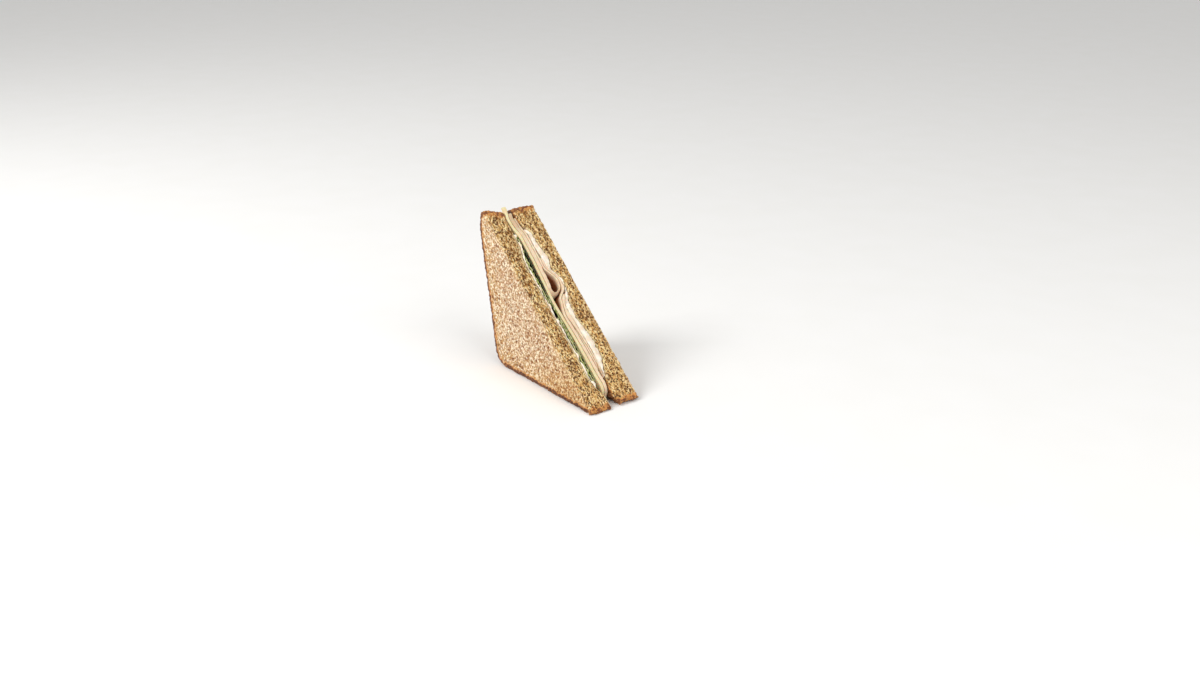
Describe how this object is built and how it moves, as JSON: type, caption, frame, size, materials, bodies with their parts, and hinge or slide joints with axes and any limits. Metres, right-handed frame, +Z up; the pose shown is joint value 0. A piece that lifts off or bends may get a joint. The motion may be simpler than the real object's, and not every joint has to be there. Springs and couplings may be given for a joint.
{
  "type": "turkey sandwich half",
  "caption": "Half of a wholemeal sandwich cut corner to corner and stood on its crust, filled with turkey, cheese, salad leaves and mayonnaise.",
  "frame": {"origin": "middle of the bounding box at the surface that the crusts stand on", "axes": "+X along the bottom crust towards the sharp tip, +Y from the front slice (leaf side) to the back slice, +Z up"},
  "size_m": [0.1296, 0.0412, 0.1093],
  "materials": {
    "bread": "matte, open wholemeal crumb with a brown crust",
    "mayonnaise": "glossy",
    "salad_leaf": "waxy",
    "cheese": "satin",
    "turkey": "moist satin"
  },
  "bodies": {
    "root": {"bread_front": "bread", "mayonnaise_front": "mayonnaise", "leaf_upper": "salad_leaf", "leaf_middle": "salad_leaf", "leaf_lower": "salad_leaf", "cheese": "cheese", "turkey_folded": "turkey", "turkey_flat": "turkey", "turkey_short": "turkey", "turkey_back": "turkey", "mayonnaise_back": "mayonnaise", "bread_back": "bread"}
  },
  "joints": []
}
